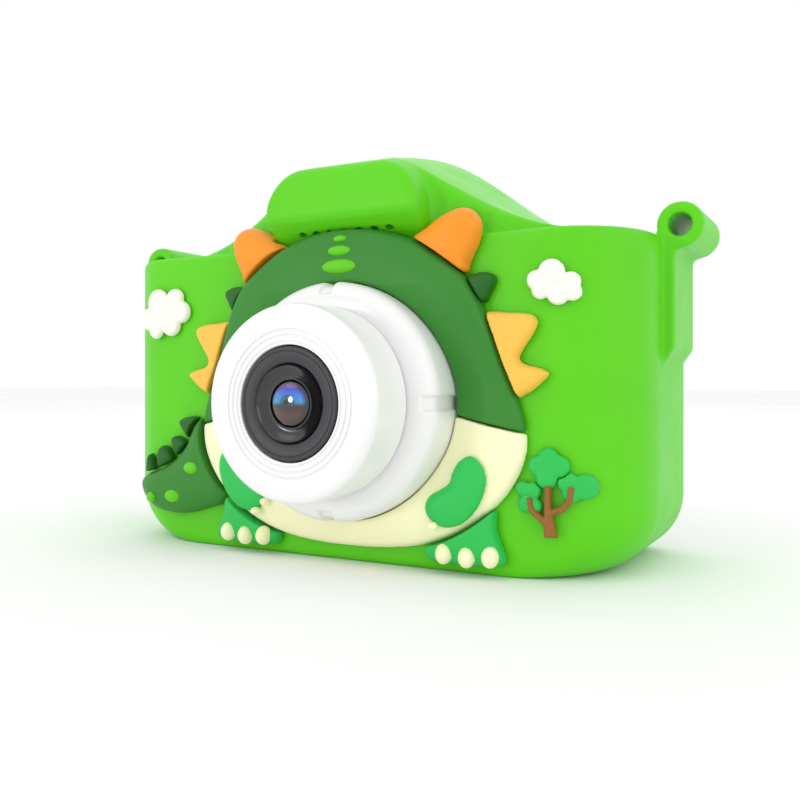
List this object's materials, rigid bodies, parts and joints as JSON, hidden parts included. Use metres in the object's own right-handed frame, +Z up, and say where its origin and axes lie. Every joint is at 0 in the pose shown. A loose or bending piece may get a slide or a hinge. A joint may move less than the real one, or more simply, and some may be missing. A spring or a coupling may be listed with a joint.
{
  "type": "kids digital camera",
  "caption": "Children's compact digital camera: a white plastic camera with a round lens barrel inside a green silicone sleeve with a dinosaur relief, strap eyelets and rear screen.",
  "frame": {"origin": "middle of the flat underside, midway across the case width and the case depth (without the lens)", "axes": "+Z up, the lens faces -Y, +X to the right when facing the lens"},
  "size_m": [0.1012, 0.0497, 0.0645],
  "materials": {
    "green_silicone": "satin soft-touch silicone, grass green",
    "dark_green_silicone": "satin silicone, leaf green",
    "spike_green_silicone": "satin silicone, deep green",
    "mint_silicone": "satin silicone, mint green",
    "cream_silicone": "satin silicone, cream",
    "orange_silicone": "satin silicone, orange",
    "yellow_silicone": "satin silicone, warm yellow",
    "cloud_silicone": "satin silicone, warm white",
    "brown_silicone": "satin silicone, brown",
    "white_plastic": "smooth moulded white ABS",
    "dark_bezel": "fine satin dark grey",
    "black_plastic": "moulded black",
    "lens_glass": "coated glass, violet-blue reflection",
    "screen": "glossy black acrylic",
    "steel": "plated steel",
    "circuit_board": "green solder mask",
    "battery_foil": "foil pouch"
  },
  "bodies": {
    "camera": {"silicone_sleeve": "green_silicone", "forehead_spot_1": "green_silicone", "forehead_spot_2": "green_silicone", "forehead_spot_3": "green_silicone", "tail_spot_1": "green_silicone", "tail_spot_2": "green_silicone", "tail_spot_3": "green_silicone", "dino_hood": "dark_green_silicone", "dino_tail": "dark_green_silicone", "cheek_spike_left": "spike_green_silicone", "cheek_spike_right": "spike_green_silicone", "tail_spike_1": "spike_green_silicone", "tail_spike_2": "spike_green_silicone", "tail_spike_3": "spike_green_silicone", "tail_spike_4": "spike_green_silicone", "arm_left": "mint_silicone", "arm_right": "mint_silicone", "foot_left": "mint_silicone", "foot_right": "mint_silicone", "tree_leaves_top": "mint_silicone", "tree_leaves_left": "mint_silicone", "tree_leaves_right": "mint_silicone", "dino_belly": "cream_silicone", "toes_left": "cream_silicone", "toes_right": "cream_silicone", "horn_left": "orange_silicone", "horn_right": "orange_silicone", "side_fin_left": "yellow_silicone", "side_fin_right": "yellow_silicone", "cloud_left": "cloud_silicone", "cloud_right": "cloud_silicone", "tree_trunk": "brown_silicone", "lens_base_ring": "white_plastic", "lens_barrel": "white_plastic", "front_shell": "white_plastic", "rear_shell": "white_plastic", "lens_bezel": "dark_bezel", "camera_module": "black_plastic", "display_module": "black_plastic", "speaker": "black_plastic", "front_lens": "lens_glass", "rear_lens": "lens_glass", "display_window": "screen", "usb_port": "steel", "card_socket": "steel", "case_screw_1": "steel", "case_screw_2": "steel", "case_screw_3": "steel", "case_screw_4": "steel", "main_board": "circuit_board", "battery": "battery_foil"},
    "down_button": {"down_button": "white_plastic"},
    "left_button": {"left_button": "white_plastic"},
    "memory_card": {"memory_card": "black_plastic"},
    "ok_button": {"ok_button": "white_plastic"},
    "power_button": {"power_button": "white_plastic"},
    "right_button": {"right_button": "white_plastic"},
    "shutter_button": {"shutter_button": "white_plastic"},
    "up_button": {"up_button": "white_plastic"}
  },
  "joints": [
    {"name": "shutter_press", "type": "slide", "parent": "camera", "child": "shutter_button", "axis": [0, 0, -1], "range_m": [0, 0.0008], "stiffness_N_per_m": 400},
    {"name": "power_press", "type": "slide", "parent": "camera", "child": "power_button", "axis": [0, 0, -1], "range_m": [0, 0.0008], "stiffness_N_per_m": 400},
    {"name": "ok_press", "type": "slide", "parent": "camera", "child": "ok_button", "axis": [0, -1, 0], "range_m": [0, 0.0006], "stiffness_N_per_m": 400},
    {"name": "up_press", "type": "slide", "parent": "camera", "child": "up_button", "axis": [0, -1, 0], "range_m": [0, 0.0006], "stiffness_N_per_m": 400},
    {"name": "down_press", "type": "slide", "parent": "camera", "child": "down_button", "axis": [0, -1, 0], "range_m": [0, 0.0006], "stiffness_N_per_m": 400},
    {"name": "left_press", "type": "slide", "parent": "camera", "child": "left_button", "axis": [0, -1, 0], "range_m": [0, 0.0006], "stiffness_N_per_m": 400},
    {"name": "right_press", "type": "slide", "parent": "camera", "child": "right_button", "axis": [0, -1, 0], "range_m": [0, 0.0006], "stiffness_N_per_m": 400},
    {"name": "memory_card_slide", "type": "slide", "parent": "camera", "child": "memory_card", "axis": [-1, 0, 0], "range_m": [0, 0.012]}
  ]
}
